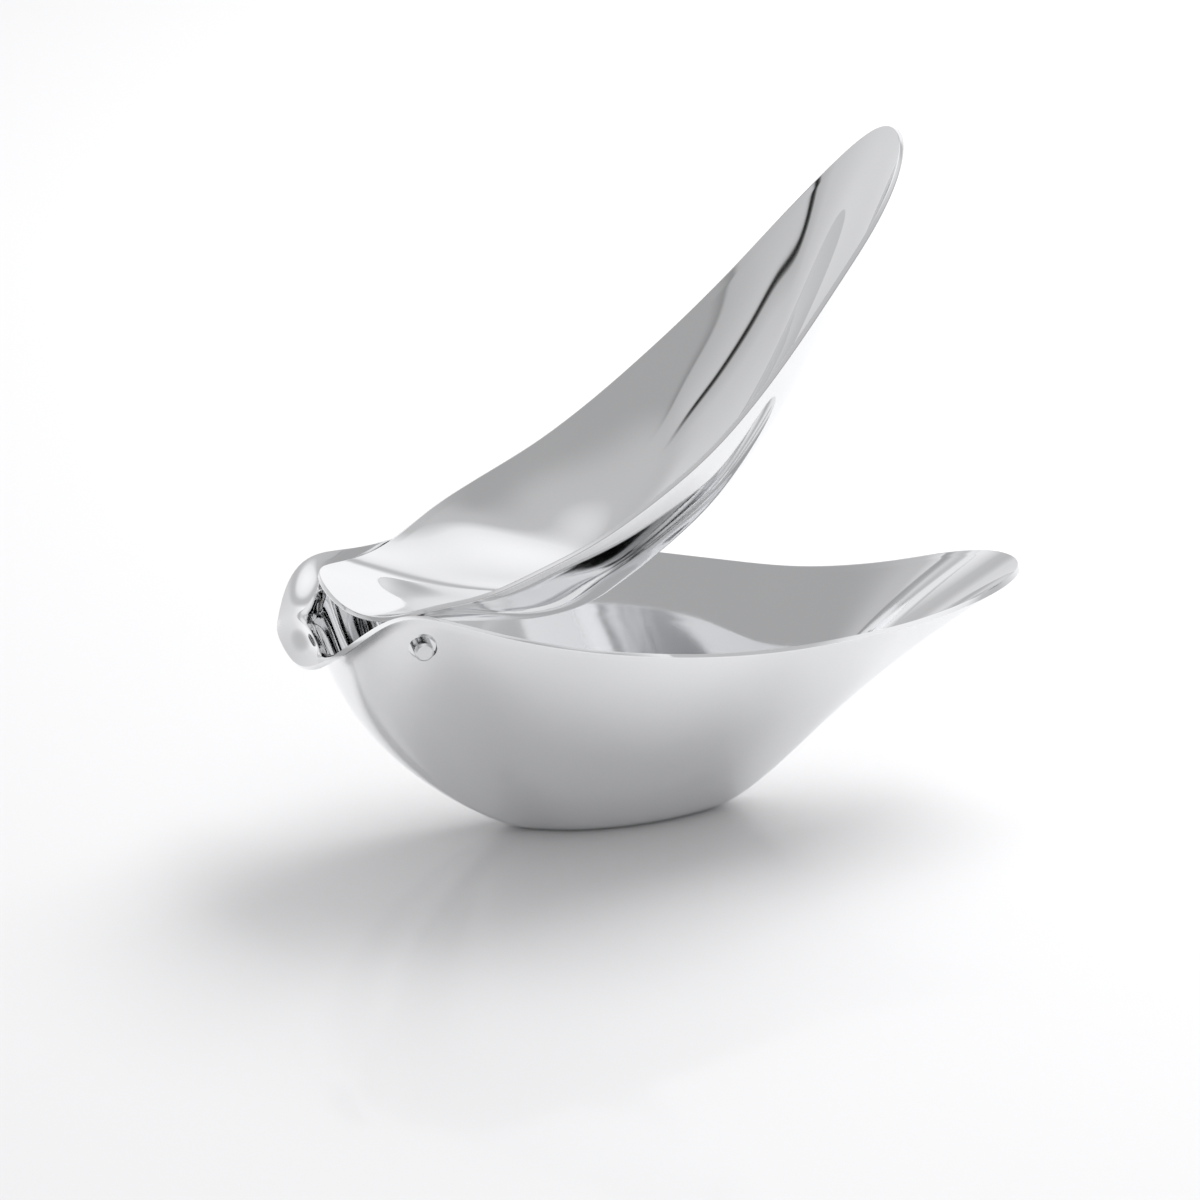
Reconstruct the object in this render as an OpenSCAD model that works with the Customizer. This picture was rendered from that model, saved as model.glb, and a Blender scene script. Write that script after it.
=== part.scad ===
// Citrus press of two sheet steel leaves: a bowl that stands on its own pressed base, and a
// pressing leaf that swings inside it on a cross pin. X runs along the press, from the pouring
// lip (-X) to the thumb tips (+X). Y runs across it and Z is up. The origin is the middle of the
// flat base. The pressing leaf is drawn open, as the press stands on the table.

/* [Sheet and pin] */
// Thickness of the steel sheet
sheet = 1.1; // [0.8:0.1:1.6]
// Diameter of the hinge pin
pin_d = 4; // [3:0.1:5]
// How much wider than the pin the holes in the ears of the bowl are
pin_play = 1.6; // [0.6:0.1:2.8]
// How far each end of the pin stands out of its ear
pin_stand_out = 2.4; // [1:0.1:4]
// Distance from the middle of the base back to the pin
pin_back = 44; // [39:0.5:49]
// Height of the pin above the table
pin_height = 53.5; // [49:0.5:60]

/* [Bowl] */
// Distance from the middle of the base to the thumb tip
bowl_tip_reach = 91.5; // [76.5:0.5:109.5]
// Height of the thumb tip
bowl_tip_height = 50.6; // [44:0.2:58]
// Height of the rim at its lowest, towards the thumb tip
bowl_waist_height = 45.6; // [40:0.2:50]
// Greatest width over the rim
bowl_width = 58; // [52:1:70]
// Width over the ears that carry the pin
ear_width = 37; // [34:1:41]
// How far the top of an ear stands above the pin
ear_rise = 7.3; // [6:0.1:9]
// Distance from the middle of the base to the front of the pouring lip
lip_reach = 70.5; // [65.5:0.5:77.5]
// Height of the front edge of the pouring lip
lip_height = 48.5; // [44:0.5:54]
// Width over the flared corners of the pouring lip
lip_width = 49; // [44:1:56]
// Length of the flat that the press stands on
base_length = 40; // [30:1:48]
// Width of the flat that the press stands on
base_width = 13; // [10:1:20]

/* [Pressing leaf] */
// Distance from the pin to the tip of the pressing leaf
leaf_tip_reach = 142.5; // [118.5:1:160.5]
// Greatest width of the pressing leaf
leaf_width = 56.8; // [46:0.2:58]
// Depth of the pressing leaf below the line from pin to tip
leaf_depth = 27.5; // [22.5:0.5:31.5]
// Gap between the pressing leaf and the inside of each ear
ear_gap = 0.6; // [0.3:0.1:1.5]
// Angle at which the leaf stands open
open_angle = 43; // [30:0.5:48]

/* [Hidden] */

// Steps round half of a rim, rows of a wall from the base to the bend under the rim, and rows
// over that bend
half_steps = 36;
wall_rows = 12;
bend_rows = 4;

// How many times a rim is faired
fairing = 4;

// A rim is a list of stations round half of it, from the hinge end to the tip. Each station is
// [x, half width, height, length of the bend, tilt of the wall at the bend, tilt of the edge],
// with tilts in degrees outward from upright: more than 90 turns the edge down.
ear_half = ear_width / 2;
ear_hole_d = pin_d + pin_play;
lip_half = lip_width / 2;
bowl_half = bowl_width / 2;
ear_top = pin_height + ear_rise;
bowl_rim = [
    [-lip_reach, 0, lip_height + 1.5, 10, 10, 150],
    [-lip_reach + 1.5, 0.41 * lip_half, lip_height - 0.5, 10, 10, 150],
    [-lip_reach + 3.6, 0.71 * lip_half, lip_height + 1.5, 9.5, 10, 140],
    [-lip_reach + 6.3, 0.92 * lip_half, lip_height + 5, 8.5, 11, 120],
    [-pin_back - 16, lip_half, lip_height + 8.5, 7, 12, 88],
    [-pin_back - 11, (lip_half + ear_half) / 2 - 0.5, ear_top - 2.4, 5, 12, 50],
    [-pin_back - 4, ear_half, ear_top, 3, 8, 14],
    [-pin_back + 3, ear_half + 3.5, ear_top - 0.2, 2, 11, 11],
    [-pin_back + 12.5, bowl_half - 3, ear_top - 2.3, 2, 12, 12],
    [-0.35 * pin_back, bowl_half - 0.2, bowl_waist_height + 9, 2, 14, 14],
    [0.04 * bowl_tip_reach, bowl_half, bowl_waist_height + 5.4, 2, 16, 16],
    [0.3 * bowl_tip_reach, 0.86 * bowl_half, bowl_waist_height + 1.7, 2, 20, 20],
    [0.52 * bowl_tip_reach, 0.66 * bowl_half, bowl_waist_height, 2, 28, 28],
    [0.71 * bowl_tip_reach, 0.54 * bowl_half, bowl_waist_height + 0.8, 2, 40, 40],
    [bowl_tip_reach - 14, 0.43 * bowl_half, bowl_tip_height - 2.2, 2, 52, 52],
    [bowl_tip_reach - 5.5, 0.29 * bowl_half, bowl_tip_height - 0.6, 2, 58, 58],
    [bowl_tip_reach, 0, bowl_tip_height, 2, 60, 60]
];

// The pressing leaf is drawn flat, with the pin's centre at the origin and its tip at height 0.
leaf_half = leaf_width / 2;
throat_half = ear_half - sheet - ear_gap;
leaf_rim = [
    [-7.6, 0, 18.8, 2, 23, 23],
    [-7.3, 0.5 * throat_half, 16.4, 2, 28, 28],
    [-5.4, 0.82 * throat_half, 12, 2, 38, 38],
    [-0.3, throat_half - 0.5, 7.4, 2, 42, 42],
    [7.5, throat_half + 2.5, 4.8, 2, 20, 20],
    [0.112 * leaf_tip_reach, 0.87 * leaf_half, 1.6, 2, 18, 18],
    [0.19 * leaf_tip_reach, 0.937 * leaf_half, -1.9, 2, 22, 22],
    [0.282 * leaf_tip_reach, 0.979 * leaf_half, -5.8, 2, 25, 25],
    [0.394 * leaf_tip_reach, leaf_half, -8.3, 2, 28, 28],
    [0.493 * leaf_tip_reach, leaf_half, -9.2, 2, 30, 30],
    [0.592 * leaf_tip_reach, 0.937 * leaf_half, -8.8, 2, 34, 34],
    [0.697 * leaf_tip_reach, 0.838 * leaf_half, -7.3, 2, 40, 40],
    [0.796 * leaf_tip_reach, 0.732 * leaf_half, -5.3, 2, 48, 48],
    [0.89 * leaf_tip_reach, 0.6 * leaf_half, -3.4, 2, 56, 56],
    [leaf_tip_reach - 7, 0.437 * leaf_half, -1.8, 2, 62, 62],
    [leaf_tip_reach - 2, 0.254 * leaf_half, -0.6, 2, 66, 66],
    [leaf_tip_reach, 0, 0, 2, 68, 68]
];

// The pressed flat that each wall rises from: [x of its middle, half length, half width, height]
bowl_flat = [0, base_length / 2, base_width / 2, 0];
leaf_flat = [48, 14, 3.5, -leaf_depth];

// How full the wall curves are at their foot and under the rim: [at the sides, at the tip, at the
// hinge end], as shares of the wall's span
bowl_foot = [0.2, 0.25, 0.1];
bowl_head = [0.35, 0.7, 0.4];
leaf_foot = [0.45, 0.25, 0.38];
leaf_head = [0.33, 0.35, 0.25];

// How far a wall line turns from its own upright plane towards square with the rim: [at the
// sides, at the tip, at the hinge end]
turn_share = [1, 0, 0.35];

function first3(p) = [p[0], p[1], p[2]];
function mirrored(p) = [for (i = [0:len(p) - 1]) i == 1 ? -p[i] : p[i]];
function unit(v) = v / max(norm(v), 1e-9);
function mix(a, b, t) = a + (b - a) * t;

// A closed rim from half of one: the stations, then their mirror images back to the start
function whole_rim(half) = concat(half, [for (i = [len(half) - 2:-1:1]) mirrored(half[i])]);

// A smooth curve through the stations, with slopes weighted by the spacing on either side. Place
// k + t is the share t of the way from station k to the next.
function at(list, k) = list[(k + len(list)) % len(list)];
function gap(list, k) = norm(first3(at(list, k + 1)) - first3(at(list, k)));
function slope(list, k) =
    let (before = gap(list, k - 1), after = gap(list, k))
    ((at(list, k) - at(list, k - 1)) / before * after
        + (at(list, k + 1) - at(list, k)) / after * before) / (before + after);
function rim_point(list, k, t) =
    (2 * t ^ 3 - 3 * t ^ 2 + 1) * at(list, k) + (3 * t ^ 2 - 2 * t ^ 3) * at(list, k + 1)
    + ((t ^ 3 - 2 * t ^ 2 + t) * slope(list, k) + (t ^ 3 - t ^ 2) * slope(list, k + 1)) * gap(list, k);

// Distances along the stations, and the rim point a given distance along
function reach(list, k) = k <= 0 ? 0 : reach(list, k - 1) + gap(list, k - 1);
function place(reaches, s, k = 0) =
    k >= len(reaches) - 2 || s < reaches[k + 1] ? k : place(reaches, s, k + 1);
function rim_at(list, reaches, s) =
    let (k = place(reaches, s))
    rim_point(list, k, (s - reaches[k]) / (reaches[k + 1] - reaches[k]));
function even_rim(half) =
    let (
        list = whole_rim(half),
        reaches = [for (k = [0:len(list)]) reach(list, k)],
        total = reaches[len(list)],
        count = 2 * half_steps
    )
    faired([for (i = [0:count - 1]) rim_at(list, reaches, total * i / count)], fairing);

// The rim fairs itself: each point moves towards its neighbours' middle and then back out as far,
// which takes out kinks and leaves the size alone
function eased(rim, share) = [for (i = [0:len(rim) - 1])
    rim[i] + (at(rim, i - 1) + at(rim, i + 1) - 2 * rim[i]) * share];
function faired(rim, times) = times == 0 ? rim : faired(eased(eased(rim, 1 / 6), -1 / 6), times - 1);

// Where the sheet has got to, as [outward, up], after the share w of a bend
function bend_step(point, w) =
    let (
        turn = (point[5] - point[4]) * w,
        middle = point[4] + turn / 2,
        chord = abs(turn) < 0.01 ? 1 : sin(turn / 2) / (turn * PI / 360)
    )
    point[3] * w * chord * [sin(middle), cos(middle)];

// The outward direction, in plan, at each point of the rim
function outward(rim, i) =
    let (d = at(rim, i + 1) - at(rim, i - 1))
    unit([-d[1], d[0]]);

function plan(p) = [p[0], p[1]];
function lift(p, z) = [p[0], p[1], z];

// The outer face of a leaf, as rows of points from the pressed flat up the wall and over the bend
function outer_rows(half, flat, foot_fill, head_fill) =
    let (
        rim = even_rim(half),
        last = len(rim) - 1,
        angle = [for (i = [0:last]) 180 * (1 - i / half_steps)],
        foot = [for (a = angle) [flat[0] + flat[1] * cos(a), flat[2] * sin(a), flat[3]]],
        out = [for (i = [0:last])
            unit(mix(unit(plan(first3(rim[i]) - foot[i])), outward(rim, i), end_mix(turn_share, angle[i])))],
        crest = [for (i = [0:last])
            let (b = bend_step(rim[i], 1)) first3(rim[i]) - lift(b[0] * out[i], b[1])],
        wall = [for (j = [0:wall_rows]) [for (i = [0:last])
            wall_point(foot[i], crest[i], out[i], rim[i][4],
                end_mix(foot_fill, angle[i]), end_mix(head_fill, angle[i]), j / wall_rows)]],
        bend = [for (j = [1:bend_rows]) [for (i = [0:last])
            let (b = bend_step(rim[i], j / bend_rows)) crest[i] + lift(b[0] * out[i], b[1])]]
    )
    concat(wall, bend);

// A value given at the sides, the tip and the hinge end, for a direction seen from the flat
function end_mix(v, angle) = mix(v[0], cos(angle) > 0 ? v[1] : v[2], cos(angle) ^ 2);

// A point on a wall: it leaves the flat level and meets the bend at its tilt
function wall_point(foot, crest, out, tilt, foot_fill, head_fill, t) =
    let (
        across = [crest[0] - foot[0], crest[1] - foot[1]],
        p1 = foot + lift(foot_fill * across, 0),
        p2 = crest - head_fill * norm(crest - foot) * lift(sin(tilt) * out, cos(tilt))
    )
    (1 - t) ^ 3 * foot + 3 * (1 - t) ^ 2 * t * p1 + 3 * (1 - t) * t ^ 2 * p2 + t ^ 3 * crest;

// The inner face: every point moved inward by the thickness of the sheet
function inner_rows(rows) =
    let (top = len(rows) - 1, last = len(rows[0]) - 1)
    [for (j = [0:top]) [for (i = [0:last])
        let (
            along = at(rows[j], i + 1) - at(rows[j], i - 1),
            up = rows[min(j + 1, top)][i] - rows[max(j - 1, 0)][i]
        )
        rows[j][i] - sheet * (j == 0 ? [0, 0, -1] : unit(cross(up, along)))]];

module sheet_shell(half, flat, foot_fill, head_fill) {
    outer = outer_rows(half, flat, foot_fill, head_fill);
    inner = inner_rows(outer);
    count = len(outer[0]);
    top = len(outer) - 1;
    function outside(j, i) = j * count + i % count;
    function inside(j, i) = outside(j, i) + (top + 1) * count;
    polyhedron(
        points = [for (side = [outer, inner]) for (row = side) for (p = row) p],
        faces = concat(
            [[for (i = [count - 1:-1:0]) outside(0, i)]],
            [[for (i = [0:count - 1]) inside(0, i)]],
            [for (j = [0:top - 1]) for (i = [0:count - 1]) each [
                [outside(j, i), outside(j, i + 1), outside(j + 1, i + 1)],
                [outside(j, i), outside(j + 1, i + 1), outside(j + 1, i)],
                [inside(j, i), inside(j + 1, i + 1), inside(j, i + 1)],
                [inside(j, i), inside(j + 1, i), inside(j + 1, i + 1)]
            ]],
            [for (i = [0:count - 1]) each [
                [outside(top, i), outside(top, i + 1), inside(top, i + 1)],
                [outside(top, i), inside(top, i + 1), inside(top, i)]
            ]]
        ),
        convexity = 8
    );
}

// Puts a child that is drawn with the pin's centre at its origin in its place
module at_pin(turn = 0) translate([-pin_back, 0, pin_height]) rotate([0, -turn, 0]) children();

// The lower leaf, with its standing flat, its pouring lip and its two pierced ears
module bowl_leaf() color([0.78, 0.79, 0.8]) difference() {
    sheet_shell(bowl_rim, bowl_flat, bowl_foot, bowl_head);
    at_pin() rotate([90, 0, 0]) cylinder(d = ear_hole_d, h = 2 * bowl_width, center = true, $fn = 48);
}

// How far the upper leaf is lifted, square to its rim, so that its floor rests on the pin: the
// floor's middle line is read over the pin's centre and a little way towards the tip
leaf_floor = [for (row = outer_rows(leaf_rim, leaf_flat, leaf_foot, leaf_head)) [row[0][0], row[0][2]]];
floor_run = 2;
floor_fall = lookup(0, leaf_floor) - lookup(floor_run, leaf_floor);
leaf_lift = pin_d / 2 / cos(atan(floor_fall / floor_run)) - lookup(floor_run / 2, leaf_floor)
    - floor_fall / 2;

// The upper leaf, which presses the fruit
module pressing_leaf() color([0.82, 0.83, 0.84]) at_pin(open_angle) translate([0, 0, leaf_lift])
    sheet_shell(leaf_rim, leaf_flat, leaf_foot, leaf_head);

// The pin, with a small chamfer at each end, welded under the upper leaf
pin_chamfer = 0.4;
pin_half = ear_half + 0.4 + pin_stand_out;
module hinge_pin() color([0.7, 0.71, 0.72]) at_pin() rotate([90, 0, 0]) rotate_extrude($fn = 48)
    polygon([
        [0, -pin_half], [pin_d / 2 - pin_chamfer, -pin_half], [pin_d / 2, -pin_half + pin_chamfer],
        [pin_d / 2, pin_half - pin_chamfer], [pin_d / 2 - pin_chamfer, pin_half], [0, pin_half]
    ]);

// Two fillet welds that run along the pin, in front of it and behind it
weld_d = 2.2;
weld_length = 12;
weld_spread = 42;
module pin_welds() color([0.6, 0.6, 0.62]) for (side = [-1, 1])
    at_pin(weld_angle + side * weld_spread) translate([0, 0, pin_d / 2]) rotate([90, 0, 0])
        cylinder(d = weld_d, h = weld_length, center = true, $fn = 24);
weld_angle = 8;

bowl_leaf();
pressing_leaf();
hinge_pin();
pin_welds();
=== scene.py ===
# %% [markdown]
# # A citrus press in mirror polished steel
# The press is two pressed sheet steel leaves and one pin. The lower leaf is a bowl that stands on
# a small flat and pours over a rolled lip. The upper leaf swings inside it and squeezes the fruit.
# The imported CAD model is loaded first, because it fixes every size and place.

# %% Load the frame
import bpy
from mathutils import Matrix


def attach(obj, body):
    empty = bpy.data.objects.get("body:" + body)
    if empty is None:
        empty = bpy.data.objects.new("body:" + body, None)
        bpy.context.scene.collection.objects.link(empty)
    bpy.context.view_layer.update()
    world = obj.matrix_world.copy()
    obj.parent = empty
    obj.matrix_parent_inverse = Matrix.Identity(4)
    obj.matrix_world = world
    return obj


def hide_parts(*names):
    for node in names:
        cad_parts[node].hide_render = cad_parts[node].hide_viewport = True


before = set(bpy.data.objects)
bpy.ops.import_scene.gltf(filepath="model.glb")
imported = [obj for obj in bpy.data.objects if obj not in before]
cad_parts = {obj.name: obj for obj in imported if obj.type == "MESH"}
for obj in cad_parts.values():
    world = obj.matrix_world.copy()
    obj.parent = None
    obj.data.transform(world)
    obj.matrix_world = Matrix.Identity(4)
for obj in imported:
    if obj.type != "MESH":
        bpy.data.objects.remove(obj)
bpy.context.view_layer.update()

from math import cos, pi, radians, sin

import bmesh
import bpy
from mathutils import Matrix, Vector

MM = 0.001

# %% [markdown]
# ## Sizes
# These are the driving sizes of the press, in millimetres and degrees, and everything below is
# worked out from them. They are the same sizes as in the CAD part, so the smooth leaves lie on
# the CAD leaves.

# %% Driving sizes
SHEET = 1.1
PIN_D, PIN_PLAY = 4, 1.6
PIN_BACK, PIN_HEIGHT = 44, 53.5
BOWL_TIP_REACH, BOWL_TIP_HEIGHT = 91.5, 50.6
BOWL_WAIST_HEIGHT, BOWL_WIDTH = 45.6, 58
EAR_WIDTH, EAR_RISE, EAR_GAP = 37, 7.3, 0.6
LIP_REACH, LIP_HEIGHT, LIP_WIDTH = 70.5, 48.5, 49
BASE_LENGTH, BASE_WIDTH = 40, 13
LEAF_TIP_REACH, LEAF_WIDTH, LEAF_DEPTH = 142.5, 56.8, 27.5
OPEN_ANGLE = 43
PIN = Vector((-PIN_BACK, 0, PIN_HEIGHT))
EAR_HOLE = PIN_D + PIN_PLAY
print("pin", tuple(PIN), "ear hole", EAR_HOLE)

# %% [markdown]
# ## Rims
# A pressed leaf is known by its rim. The rim is given as stations round half of it, from the
# hinge end to the tip, as a pattern maker would lay out a boat's gunwale. Each station is
# [x, half width, height, length of the rolled edge, tilt where the roll starts, tilt of the edge],
# with the tilts in degrees outward from upright.

# %% Rim of the bowl
EAR_HALF, LIP_HALF, BOWL_HALF = EAR_WIDTH / 2, LIP_WIDTH / 2, BOWL_WIDTH / 2
EAR_TOP = PIN_HEIGHT + EAR_RISE
BOWL_RIM = [
    [-LIP_REACH, 0, LIP_HEIGHT + 1.5, 10, 10, 150],
    [-LIP_REACH + 1.5, 0.41 * LIP_HALF, LIP_HEIGHT - 0.5, 10, 10, 150],
    [-LIP_REACH + 3.6, 0.71 * LIP_HALF, LIP_HEIGHT + 1.5, 9.5, 10, 140],
    [-LIP_REACH + 6.3, 0.92 * LIP_HALF, LIP_HEIGHT + 5, 8.5, 11, 120],
    [-PIN_BACK - 16, LIP_HALF, LIP_HEIGHT + 8.5, 7, 12, 88],
    [-PIN_BACK - 11, (LIP_HALF + EAR_HALF) / 2 - 0.5, EAR_TOP - 2.4, 5, 12, 50],
    [-PIN_BACK - 4, EAR_HALF, EAR_TOP, 3, 8, 14],
    [-PIN_BACK + 3, EAR_HALF + 3.5, EAR_TOP - 0.2, 2, 11, 11],
    [-PIN_BACK + 12.5, BOWL_HALF - 3, EAR_TOP - 2.3, 2, 12, 12],
    [-0.35 * PIN_BACK, BOWL_HALF - 0.2, BOWL_WAIST_HEIGHT + 9, 2, 14, 14],
    [0.04 * BOWL_TIP_REACH, BOWL_HALF, BOWL_WAIST_HEIGHT + 5.4, 2, 16, 16],
    [0.3 * BOWL_TIP_REACH, 0.86 * BOWL_HALF, BOWL_WAIST_HEIGHT + 1.7, 2, 20, 20],
    [0.52 * BOWL_TIP_REACH, 0.66 * BOWL_HALF, BOWL_WAIST_HEIGHT, 2, 28, 28],
    [0.71 * BOWL_TIP_REACH, 0.54 * BOWL_HALF, BOWL_WAIST_HEIGHT + 0.8, 2, 40, 40],
    [BOWL_TIP_REACH - 14, 0.43 * BOWL_HALF, BOWL_TIP_HEIGHT - 2.2, 2, 52, 52],
    [BOWL_TIP_REACH - 5.5, 0.29 * BOWL_HALF, BOWL_TIP_HEIGHT - 0.6, 2, 58, 58],
    [BOWL_TIP_REACH, 0, BOWL_TIP_HEIGHT, 2, 60, 60],
]
print("bowl rim stations", len(BOWL_RIM))

# %% Rim of the pressing leaf
LEAF_HALF = LEAF_WIDTH / 2
THROAT_HALF = EAR_HALF - SHEET - EAR_GAP
LEAF_RIM = [
    [-7.6, 0, 18.8, 2, 23, 23],
    [-7.3, 0.5 * THROAT_HALF, 16.4, 2, 28, 28],
    [-5.4, 0.82 * THROAT_HALF, 12, 2, 38, 38],
    [-0.3, THROAT_HALF - 0.5, 7.4, 2, 42, 42],
    [7.5, THROAT_HALF + 2.5, 4.8, 2, 20, 20],
    [0.112 * LEAF_TIP_REACH, 0.87 * LEAF_HALF, 1.6, 2, 18, 18],
    [0.19 * LEAF_TIP_REACH, 0.937 * LEAF_HALF, -1.9, 2, 22, 22],
    [0.282 * LEAF_TIP_REACH, 0.979 * LEAF_HALF, -5.8, 2, 25, 25],
    [0.394 * LEAF_TIP_REACH, LEAF_HALF, -8.3, 2, 28, 28],
    [0.493 * LEAF_TIP_REACH, LEAF_HALF, -9.2, 2, 30, 30],
    [0.592 * LEAF_TIP_REACH, 0.937 * LEAF_HALF, -8.8, 2, 34, 34],
    [0.697 * LEAF_TIP_REACH, 0.838 * LEAF_HALF, -7.3, 2, 40, 40],
    [0.796 * LEAF_TIP_REACH, 0.732 * LEAF_HALF, -5.3, 2, 48, 48],
    [0.89 * LEAF_TIP_REACH, 0.6 * LEAF_HALF, -3.4, 2, 56, 56],
    [LEAF_TIP_REACH - 7, 0.437 * LEAF_HALF, -1.8, 2, 62, 62],
    [LEAF_TIP_REACH - 2, 0.254 * LEAF_HALF, -0.6, 2, 66, 66],
    [LEAF_TIP_REACH, 0, 0, 2, 68, 68],
]
print("leaf rim stations", len(LEAF_RIM))

# %% [markdown]
# ## Flats and fullness
# Each wall rises from a small pressed flat, given as [x of its middle, half length, half width,
# height]. How full the wall is at its foot and under the rim is given as shares of its span, at
# the sides, the tip and the hinge end.

# %% Flats and fullness
BOWL_FLAT = (0, BASE_LENGTH / 2, BASE_WIDTH / 2, 0)
LEAF_FLAT = (48, 14, 3.5, -LEAF_DEPTH)
BOWL_FOOT, BOWL_HEAD = (0.2, 0.25, 0.1), (0.35, 0.7, 0.4)
LEAF_FOOT, LEAF_HEAD = (0.45, 0.25, 0.38), (0.33, 0.35, 0.25)
print("bowl stands on a flat", 2 * BOWL_FLAT[1], "by", 2 * BOWL_FLAT[2], "mm")

# %% [markdown]
# ## From stations to a rim
# A curve through the stations is walked in even steps, so that every strip of the mesh has about
# the same width. Even strips matter on a mirror: a reflection shows each change of spacing. The
# steps are then averaged with their neighbours a few times, which fairs the curve as a spline
# batten would.

# %% Rim curve
def whole_rim(half):
    return half + [[s[0], -s[1], *s[2:]] for s in half[-2:0:-1]]


def distance(a, b):
    return (Vector(a[:3]) - Vector(b[:3])).length


def curve_point(stations, k, t):
    """A point the share t of the way from station k to the next, on a smooth closed curve."""
    n = len(stations)
    near = [stations[(k + j) % n] for j in (-1, 0, 1, 2)]
    spans = [distance(near[j], near[j + 1]) for j in range(3)]

    def slope(j):
        before, after = spans[j - 1], spans[j]
        return [((p - o) / before * after + (q - p) / after * before) / (before + after)
                for o, p, q in zip(near[j - 1], near[j], near[j + 1])]

    s1, s2 = slope(1), slope(2)
    w = (2 * t ** 3 - 3 * t ** 2 + 1, 3 * t ** 2 - 2 * t ** 3,
         (t ** 3 - 2 * t ** 2 + t) * spans[1], (t ** 3 - t ** 2) * spans[1])
    return [w[0] * p + w[1] * q + w[2] * a + w[3] * b
            for p, q, a, b in zip(near[1], near[2], s1, s2)]


def even_rim(half, count, fairing):
    stations = whole_rim(half)
    n = len(stations)
    reach = [0]
    for k in range(n):
        reach.append(reach[-1] + distance(stations[k], stations[(k + 1) % n]))
    rim, k = [], 0
    for i in range(count):
        along = reach[-1] * i / count
        while reach[k + 1] < along:
            k += 1
        rim.append(curve_point(stations, k, (along - reach[k]) / (reach[k + 1] - reach[k])))
    for _ in range(fairing):
        for weight in (1 / 6, -1 / 6):
            rim = [[b + (a + c - 2 * b) * weight
                    for a, b, c in zip(rim[i - 1], rim[i], rim[(i + 1) % count])]
                   for i in range(count)]
    return rim


# %% [markdown]
# ## From rim to wall
# Each strip of the wall leaves the pressed flat level, swells out and meets the rim at the tilt
# that its station gives, and there it may roll over, as the pouring lip does.

# %% Wall strips
STEPS, WALL_ROWS, ROLL_ROWS, FAIRING = 72, 10, 4, 4
TURN_SHARE = (1, 0, 0.35)


def end_mix(values, turn):
    """A value given at the sides, the tip and the hinge end, for a direction from the flat."""
    return values[0] + (values[1 if cos(turn) > 0 else 2] - values[0]) * cos(turn) ** 2


def roll_step(station, share):
    """How far the sheet has gone outward and up after a share of its rolled edge."""
    turn = radians(station[5] - station[4]) * share
    middle = radians(station[4]) + turn / 2
    chord = 1 if abs(turn) < 1e-4 else sin(turn / 2) / (turn / 2)
    return station[3] * share * chord * sin(middle), station[3] * share * chord * cos(middle)


def strips(half, flat, foot_fill, head_fill):
    """The strips of a leaf's outer face, each a list of points from the flat to the edge."""
    rim = even_rim(half, STEPS, FAIRING)
    rows = []
    for i, station in enumerate(rim):
        turn = pi - 2 * pi * i / STEPS
        foot = Vector((flat[0] + flat[1] * cos(turn), flat[2] * sin(turn), flat[3]))
        edge = Vector(station[:3])
        along = Vector(rim[(i + 1) % STEPS][:2]) - Vector(rim[i - 1][:2])
        square = Vector((-along.y, along.x)).normalized()
        radial = (edge - foot).xy.normalized()
        out = (radial + (square - radial) * end_mix(TURN_SHARE, turn)).normalized()

        def at_roll(share):
            end, here = roll_step(station, 1), roll_step(station, share)
            return edge + Vector((*(out * (here[0] - end[0])), here[1] - end[1]))

        crest = at_roll(0)
        tilt = radians(station[4])
        span = (crest - foot).length
        p1 = foot + Vector((*((crest - foot).xy * end_mix(foot_fill, turn)), 0))
        p2 = crest - span * end_mix(head_fill, turn) * Vector((*(out * sin(tilt)), cos(tilt)))
        wall = []
        for j in range(WALL_ROWS + 1):
            t = j / WALL_ROWS
            wall.append((1 - t) ** 3 * foot + 3 * (1 - t) ** 2 * t * p1
                        + 3 * (1 - t) * t ** 2 * p2 + t ** 3 * crest)
        rows.append(wall + [at_roll(j / ROLL_ROWS) for j in range(1, ROLL_ROWS + 1)])
    return rows


# %% [markdown]
# ## A leaf as a mesh
# The mesh starts as a capped circle, the flat that the press tool leaves. Its edge is extruded
# ring by ring, and each new ring is put on the strips. Solidify gives the sheet its thickness
# inward, and Subdivision Surface makes a surface without facets, which a mirror needs.

# %% Leaf mesh
def finished_mesh(piece):
    """The mesh of a piece with its modifiers applied."""
    bpy.context.view_layer.update()
    graph = bpy.context.evaluated_depsgraph_get()
    return bpy.data.meshes.new_from_object(piece.evaluated_get(graph))


def add_piece(name, mesh):
    piece = bpy.data.objects.new(name, mesh)
    bpy.context.scene.collection.objects.link(piece)
    return piece


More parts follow.
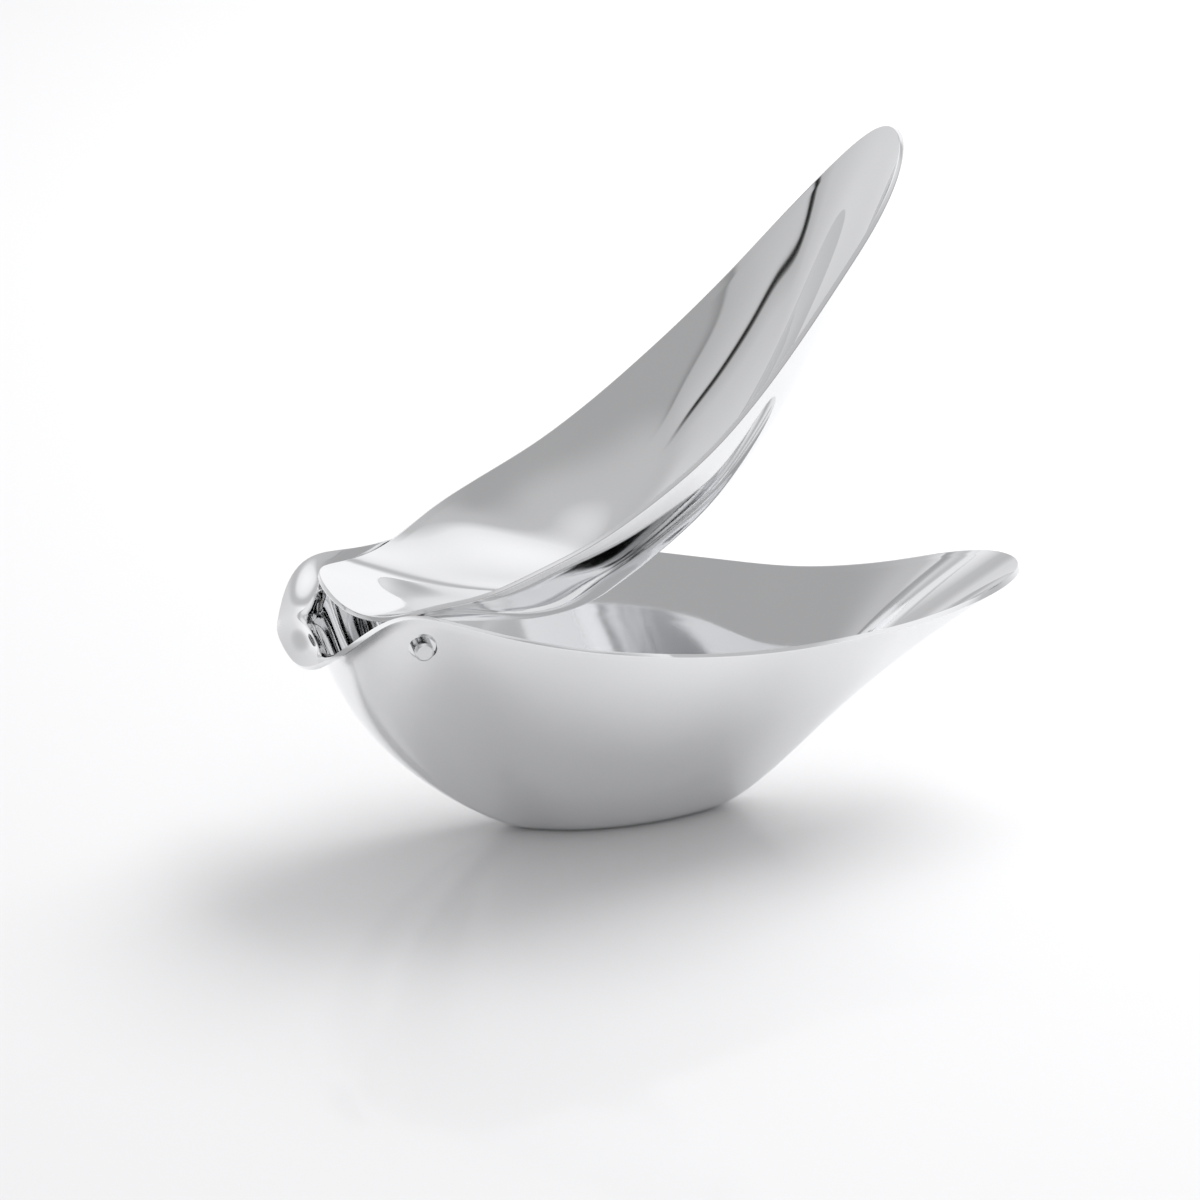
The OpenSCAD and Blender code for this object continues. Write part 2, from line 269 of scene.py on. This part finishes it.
def leaf_piece(name, half, flat, foot_fill, head_fill, place):
    rows = strips(half, flat, foot_fill, head_fill)
    bm = bmesh.new()
    ring = bmesh.ops.create_circle(bm, cap_ends=True, segments=STEPS, radius=1)["verts"]
    bm.faces.ensure_lookup_table()
    cap = bm.faces[0]
    ring = [loop.vert for loop in cap.loops]
    for vert, strip in zip(ring, rows):
        vert.co = strip[0]
    for j in range(1, len(rows[0])):
        edges = [bm.edges.get((ring[i - 1], ring[i])) for i in range(STEPS)]
        made = bmesh.ops.extrude_edge_only(bm, edges=edges)["geom"]
        new = {v for v in made if isinstance(v, bmesh.types.BMVert)}
        ring = [next(e.other_vert(v) for e in v.link_edges if e.other_vert(v) in new)
                for v in ring]
        for vert, strip in zip(ring, rows):
            vert.co = strip[j]
    middle = Matrix.Translation((-flat[0], 0, 0))
    for share in (0.65, 0.5):
        bmesh.ops.inset_region(bm, faces=[cap], thickness=0.01, depth=0)
        bmesh.ops.scale(bm, vec=(share, share, 1), space=middle, verts=cap.verts[:])
    bmesh.ops.recalc_face_normals(bm, faces=bm.faces)
    if sum(f.normal.z * f.calc_area() for f in bm.faces) > 0:
        bmesh.ops.reverse_faces(bm, faces=bm.faces)
    bmesh.ops.transform(bm, matrix=place, verts=bm.verts)
    bmesh.ops.scale(bm, vec=(MM, MM, MM), verts=bm.verts)
    mesh = bpy.data.meshes.new(name)
    bm.to_mesh(mesh)
    bm.free()
    mesh.shade_smooth()
    piece = add_piece(name, mesh)
    wall = piece.modifiers.new("sheet thickness", "SOLIDIFY")
    wall.thickness = SHEET * MM
    wall.offset = -1
    wall.use_even_offset = True
    wall.edge_crease_rim = 0
    wall.edge_crease_inner = 0.75
    wall.edge_crease_outer = 0.75
    smooth = piece.modifiers.new("smooth", "SUBSURF")
    smooth.levels = smooth.render_levels = 2
    print(name, "ring", STEPS, "rows", len(rows[0]), "cage faces", len(mesh.polygons))
    return piece


# %% [markdown]
# ## The two leaves
# Both leaves come from the same press shop and the same steps. The bowl is laid out where it
# stands. The pressing leaf is laid out flat, with the pin's centre at the origin, and is then
# turned open about the pin, so that its mesh lies where the CAD leaf lies.

# %% Bowl leaf and pressing leaf
at_pin = Matrix.Translation(PIN) @ Matrix.Rotation(-radians(OPEN_ANGLE), 4, "Y")
bowl = leaf_piece("bowl_sheet", BOWL_RIM, BOWL_FLAT, BOWL_FOOT, BOWL_HEAD, Matrix.Identity(4))
press = leaf_piece("press_sheet", LEAF_RIM, LEAF_FLAT, LEAF_FOOT, LEAF_HEAD, at_pin)

# %% [markdown]
# ## Pin holes
# The ears are pierced after pressing. A cylinder is cut out of the finished mesh, once it is
# dense, so the smooth surface round the hole isn't pulled.

# %% Pierce the ears
def drill():
    bm = bmesh.new()
    bmesh.ops.create_cone(bm, cap_ends=True, segments=96, radius1=EAR_HOLE * MM / 2,
                          radius2=EAR_HOLE * MM / 2, depth=0.1,
                          matrix=Matrix.Translation(PIN * MM) @ Matrix.Rotation(pi / 2, 4, "X"))
    mesh = bpy.data.meshes.new("drill")
    bm.to_mesh(mesh)
    bm.free()
    return add_piece("drill", mesh)


tool = drill()
cut = bowl.modifiers.new("pin holes", "BOOLEAN")
cut.object = tool
cut.operation = "DIFFERENCE"
cut.solver = "EXACT"
pierced = finished_mesh(bowl)
bowl.modifiers.clear()
bowl.data = pierced
bpy.data.objects.remove(tool)
pierced.set_sharp_from_angle(angle=radians(40))
print("bowl faces", len(pierced.polygons))
print("bowl lowest point, mm", round(min(v.co.z for v in pierced.vertices) / MM, 3))

# %% [markdown]
# ## Which body each piece rides
# The bowl stands still and the pressing leaf turns with its pin and welds. Each smooth leaf takes
# the place of the CAD leaf of the same shape. The pin and the welds are exact already, so they
# stay as the CAD pieces and only get a finish.

# %% Ride and replace
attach(bowl, "bowl")
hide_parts("bowl_leaf")
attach(press, "press")
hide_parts("pressing_leaf")

# %% [markdown]
# ## Mirror polished steel
# The leaves are buffed to a mirror on a cloth wheel. The wheel leaves three things: cloudy
# patches where the shine is a little softer, hair fine lines along the sheet, and an edge that
# is rounded over and slightly worn. The clouds and the lines set the roughness, the lines also
# lift the surface by less than a hair, and the edge is found from how convex the mesh is.

# %% Steel shader helpers
def shader(name):
    material = bpy.data.materials.new(name)
    material.use_nodes = True
    nodes, links = material.node_tree.nodes, material.node_tree.links
    return material, nodes, links, nodes["Principled BSDF"]


def grain(nodes, links, per_metre, detail=4.0, place=(0, 0, 0)):
    """Noise in object space; per_metre gives its fineness along X, Y and Z."""
    where = nodes.new("ShaderNodeTexCoord")
    stretch = nodes.new("ShaderNodeMapping")
    stretch.inputs["Location"].default_value = place
    stretch.inputs["Scale"].default_value = per_metre
    links.new(where.outputs["Object"], stretch.inputs["Vector"])
    noise = nodes.new("ShaderNodeTexNoise")
    noise.inputs["Scale"].default_value = 1
    noise.inputs["Detail"].default_value = detail
    links.new(stretch.outputs["Vector"], noise.inputs["Vector"])
    return noise.outputs["Fac"]


def spread(nodes, links, value, low, high, start=0.3, stop=0.7):
    """The value's range from start to stop stretched over low to high."""
    span = nodes.new("ShaderNodeMapRange")
    for name, number in (("From Min", start), ("From Max", stop), ("To Min", low), ("To Max", high)):
        span.inputs[name].default_value = number
    links.new(value, span.inputs["Value"])
    return span.outputs["Result"]


def added(nodes, links, first, second):
    total = nodes.new("ShaderNodeMath")
    total.operation = "ADD"
    links.new(first, total.inputs[0])
    links.new(second, total.inputs[1])
    return total.outputs["Value"]


def raised(nodes, links, height, depth, base):
    """Bump of a given depth in metres on a shader's normal."""
    bump = nodes.new("ShaderNodeBump")
    bump.inputs["Strength"].default_value = 1
    bump.inputs["Distance"].default_value = depth
    links.new(height, bump.inputs["Height"])
    links.new(bump.outputs["Normal"], base.inputs["Normal"])


# %% Mirror polished steel
def polished_steel():
    material, nodes, links, steel = shader("mirror polished steel")
    steel.inputs["Metallic"].default_value = 1
    clouds = grain(nodes, links, (45, 45, 45))
    lines = grain(nodes, links, (60, 2600, 2600), detail=2)
    edge = nodes.new("ShaderNodeNewGeometry").outputs["Pointiness"]
    soft = spread(nodes, links, clouds, 0.025, 0.055)
    fine = spread(nodes, links, lines, 0, 0.02)
    worn = spread(nodes, links, edge, 0, 0.16, 0.52, 0.6)
    links.new(added(nodes, links, added(nodes, links, soft, fine), worn),
              steel.inputs["Roughness"])
    tone = nodes.new("ShaderNodeMix")
    tone.data_type = "RGBA"
    tone.inputs["A"].default_value = (0.85, 0.855, 0.865, 1)
    tone.inputs["B"].default_value = (0.89, 0.893, 0.895, 1)
    links.new(clouds, tone.inputs["Factor"])
    links.new(tone.outputs["Result"], steel.inputs["Base Color"])
    raised(nodes, links, lines, 2e-7, steel)
    return material


mirror = polished_steel()
for piece in (bowl, press):
    piece.data.materials.clear()
    piece.data.materials.append(mirror)
print("mirror nodes", len(mirror.node_tree.nodes))

# %% [markdown]
# ## Drawn pin and weld beads
# The pin is a length of drawn rod, so its marks run along it and its sheared ends are duller than
# the sheet. The two weld beads were laid in short pulses. Each pulse leaves a ripple across the
# bead, and the heat leaves the metal grey with a trace of straw colour.

# %% Pin and weld finishes
def drawn_rod():
    material, nodes, links, steel = shader("drawn steel rod")
    steel.inputs["Metallic"].default_value = 1
    steel.inputs["Base Color"].default_value = (0.72, 0.725, 0.73, 1)
    marks = grain(nodes, links, (5200, 160, 5200), detail=3)
    stain = grain(nodes, links, (420, 420, 420))
    links.new(added(nodes, links, spread(nodes, links, marks, 0.08, 0.2),
                    spread(nodes, links, stain, 0, 0.12)), steel.inputs["Roughness"])
    raised(nodes, links, marks, 1.5e-6, steel)
    return material


def weld_bead():
    material, nodes, links, steel = shader("weld bead")
    steel.inputs["Metallic"].default_value = 1
    heat = grain(nodes, links, (300, 500, 300))
    tint = nodes.new("ShaderNodeMix")
    tint.data_type = "RGBA"
    tint.inputs["A"].default_value = (0.5, 0.5, 0.52, 1)
    tint.inputs["B"].default_value = (0.62, 0.56, 0.46, 1)
    links.new(spread(nodes, links, heat, 0, 1, 0.4, 0.65), tint.inputs["Factor"])
    links.new(tint.outputs["Result"], steel.inputs["Base Color"])
    links.new(spread(nodes, links, heat, 0.28, 0.5), steel.inputs["Roughness"])
    where = nodes.new("ShaderNodeTexCoord")
    ripple = nodes.new("ShaderNodeTexWave")
    ripple.bands_direction = "Y"
    ripple.inputs["Scale"].default_value = 350
    ripple.inputs["Distortion"].default_value = 1.5
    links.new(where.outputs["Object"], ripple.inputs["Vector"])
    raised(nodes, links, ripple.outputs["Fac"], 6e-5, steel)
    return material


for name, finish in (("hinge_pin", drawn_rod()), ("pin_welds", weld_bead())):
    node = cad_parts[name]
    node.data.materials.clear()
    node.data.materials.append(finish)
    print(name, "carries", finish.name)

# %% [markdown]
# ## A pale floor
# The press stands on a plain pale table with a soft gloss. One colour all over is enough: the
# shade under the bowl, and its dark image in the steel, come from the light alone.

# %% Floor
bm = bmesh.new()
bmesh.ops.create_grid(bm, x_segments=1, y_segments=1, size=1.1)
floor_mesh = bpy.data.meshes.new("floor")
bm.to_mesh(floor_mesh)
bm.free()
floor = add_piece("floor", floor_mesh)
HAIR_BELOW = 0.0001
floor.location.z = -HAIR_BELOW
pale, _, _, gloss = shader("pale glossy table")
gloss.inputs["Base Color"].default_value = (0.8, 0.8, 0.805, 1)
gloss.inputs["Roughness"].default_value = 0.08
floor_mesh.materials.append(pale)

# %% [markdown]
# ## The room in the mirror
# A mirror has no colour of its own, so what the press looks like is decided by the room round it.
# The world is a white studio drawn with two ramps. One gives the walls by compass bearing: a dim
# side behind the camera, a thin dark gap at the left between two panels, and a bright window
# side at the right. The other gives the ceiling by height, brightest overhead. Only the steel
# and the floor see this room: the camera itself sees plain white behind the press.

# %% World
def ramp_node(nodes, stops):
    """A colour ramp of grey levels, given as (place from 0 to 1, level)."""
    node = nodes.new("ShaderNodeValToRGB")
    ends = node.color_ramp.elements
    for place, level in stops:
        stop = ends[0] if place == 0 else ends[-1] if place == 1 else ends.new(place)
        stop.color = (level, level, level * 1.01, 1)
    return node


world = bpy.data.worlds.new("white studio")
bpy.context.scene.world = world
world.use_nodes = True
nodes, links = world.node_tree.nodes, world.node_tree.links
back = nodes["Background"]
where = nodes.new("ShaderNodeTexCoord")
split = nodes.new("ShaderNodeSeparateXYZ")
links.new(where.outputs["Generated"], split.inputs["Vector"])
bearing = nodes.new("ShaderNodeMath")
bearing.operation = "ARCTAN2"
links.new(split.outputs["X"], bearing.inputs[0])
links.new(split.outputs["Y"], bearing.inputs[1])
turned = nodes.new("ShaderNodeMath")
turned.operation = "MULTIPLY_ADD"
turned.inputs[1].default_value = 1 / (2 * pi)
turned.inputs[2].default_value = 0.5
links.new(bearing.outputs["Value"], turned.inputs[0])
WALLS = [(-180, 0.42), (-124, 0.42), (-121, 0.36), (-120, 0.12), (-119, 0.5), (-100, 0.62),
         (-98, 0.5), (-97, 0.02), (-94.5, 0.02), (-93.5, 0.5), (-80, 0.62), (-40, 0.7),
         (0, 0.8), (20, 1.05), (70, 1.0), (110, 0.6), (180, 0.42)]
walls = ramp_node(nodes, [((a + 180) / 360, level) for a, level in WALLS])
links.new(turned.outputs["Value"], walls.inputs["Fac"])
CEILING = [(0, 0.5), (0.5, 0.5), (0.77, 0.58), (0.87, 0.92), (1, 1.05)]
ceiling = ramp_node(nodes, CEILING)
links.new(split.outputs["Z"], ceiling.inputs["Fac"])
above = nodes.new("ShaderNodeMapRange")
above.interpolation_type = "SMOOTHSTEP"
WALL_TOP, CEILING_EDGE = 0.48, 0.7
above.inputs["From Min"].default_value = WALL_TOP
above.inputs["From Max"].default_value = CEILING_EDGE
links.new(split.outputs["Z"], above.inputs["Value"])
room = nodes.new("ShaderNodeMix")
room.data_type = "RGBA"
links.new(above.outputs["Result"], room.inputs["Factor"])
links.new(walls.outputs["Color"], room.inputs["A"])
links.new(ceiling.outputs["Color"], room.inputs["B"])
seen = nodes.new("ShaderNodeLightPath")
view = nodes.new("ShaderNodeMix")
view.data_type = "RGBA"
links.new(seen.outputs["Is Camera Ray"], view.inputs["Factor"])
links.new(room.outputs["Result"], view.inputs["A"])
view.inputs["B"].default_value = (1, 1, 1, 1)
links.new(view.outputs["Result"], back.inputs["Color"])
bpy.context.scene.view_settings.view_transform = "Standard"

# %% [markdown]
# ## Key light
# One large soft light stands high at the back right, so the shadow falls to the front left. It
# isn't seen in the steel, where its square outline would look like a window.

# %% Softbox
def softbox(name, place, aim, size, power):
    data = bpy.data.lights.new(name, "AREA")
    data.shape = "SQUARE"
    data.size = size
    data.energy = power
    light = bpy.data.objects.new(name, data)
    bpy.context.scene.collection.objects.link(light)
    light.location = place
    light.rotation_euler = (Vector(aim) - Vector(place)).to_track_quat("-Z", "Y").to_euler()
    return light


key = softbox("key softbox", (0.5, 0.4, 0.9), (0, 0, 0), 0.7, 9)
key.visible_glossy = False

# %% [markdown]
# ## Camera
# A long lens from a little above the rim, turned slightly to the left of the press's side, as
# for a catalogue picture: both the inside of the leaves and their outlines can be read.

# %% Camera
ELEVATION, YAW, DISTANCE = 25, 13, 0.819
AIM = Vector((0.0022, 0.0201, 0.0418))
look = Vector((sin(radians(YAW)) * cos(radians(ELEVATION)),
               cos(radians(YAW)) * cos(radians(ELEVATION)), -sin(radians(ELEVATION))))
camera = bpy.data.objects.new("camera", bpy.data.cameras.new("camera"))
bpy.context.scene.collection.objects.link(camera)
camera.location = AIM - look * DISTANCE
camera.rotation_euler = (radians(90 - ELEVATION), 0, -radians(YAW))
camera.data.lens = 113
bpy.context.scene.camera = camera
